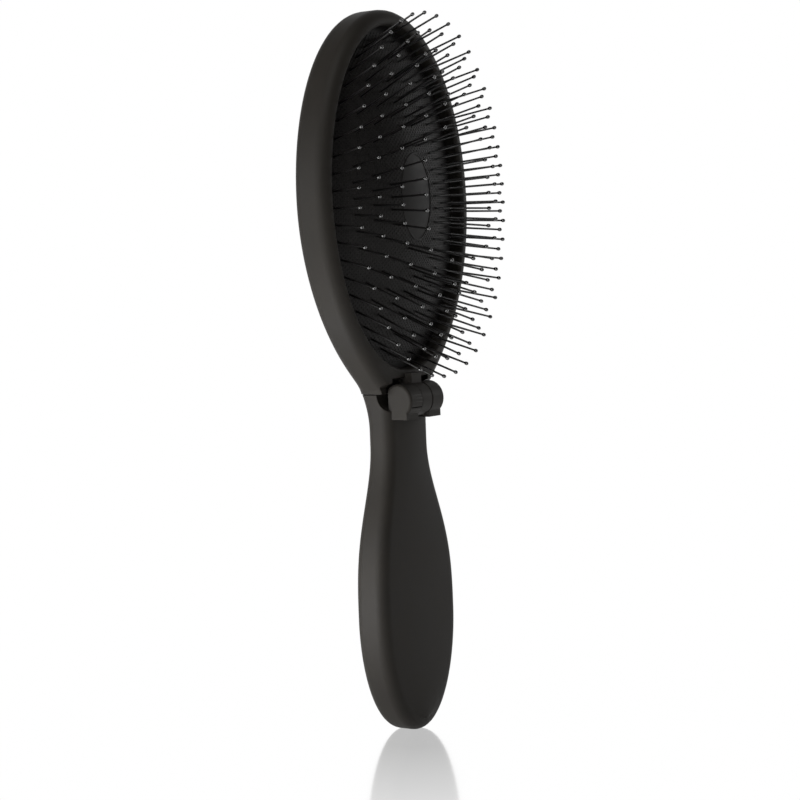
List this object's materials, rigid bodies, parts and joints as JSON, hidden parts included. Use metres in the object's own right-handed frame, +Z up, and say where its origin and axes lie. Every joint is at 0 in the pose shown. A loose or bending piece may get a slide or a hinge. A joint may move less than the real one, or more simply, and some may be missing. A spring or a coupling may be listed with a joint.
{
  "type": "folding hairbrush",
  "caption": "Folding cushion hairbrush with a spoon-shaped handle, an oval head of ball-tipped pins and a mirror set in its back.",
  "frame": {"origin": "centre of the bounding box in X and Y, at the lowest point of the handle's rounded end", "axes": "+Z up along the handle to the head, -Y the way the pins point, +Y the mirror's side, +X across the brush and along the hinge axis"},
  "size_m": [0.0696, 0.0336, 0.1947],
  "materials": {
    "shell": "soft-touch matte coating",
    "rubber": "matte with a fine moulded texture",
    "nylon": "satin moulded nylon",
    "ball_tip": "glossy",
    "pin_steel": "drawn wire",
    "mirror": "silvered glass",
    "foam": "adhesive foam"
  },
  "bodies": {
    "handle": {"handle": "shell", "hinge_pin": "pin_steel"},
    "head": {"head_frame": "shell", "mirror_glass": "mirror", "mirror_tape": "foam", "cushion": "rubber", "pins_col_1": "nylon", "pins_col_2": "nylon", "pins_col_3": "nylon", "pins_col_4": "nylon", "pins_col_5": "nylon", "pins_col_6": "nylon", "pins_col_7": "nylon", "pins_col_8": "nylon", "pins_col_9": "nylon", "pins_col_10": "nylon", "pins_col_11": "nylon", "tips_col_1": "ball_tip", "tips_col_2": "ball_tip", "tips_col_3": "ball_tip", "tips_col_4": "ball_tip", "tips_col_5": "ball_tip", "tips_col_6": "ball_tip", "tips_col_7": "ball_tip", "tips_col_8": "ball_tip", "tips_col_9": "ball_tip", "tips_col_10": "ball_tip", "tips_col_11": "ball_tip"}
  },
  "joints": [
    {"name": "fold", "type": "hinge", "parent": "handle", "child": "head", "pos_m": [0, 0.00309, 0.09027], "axis": [1, 0, 0], "range_deg": [0, 180], "deforming": ["cushion", "pins_col_1", "pins_col_2", "pins_col_3", "pins_col_4", "pins_col_5", "pins_col_6", "pins_col_7", "pins_col_8", "pins_col_9", "pins_col_10", "pins_col_11", "tips_col_1", "tips_col_2", "tips_col_3", "tips_col_4", "tips_col_5", "tips_col_6", "tips_col_7", "tips_col_8", "tips_col_9", "tips_col_10", "tips_col_11"]}
  ]
}
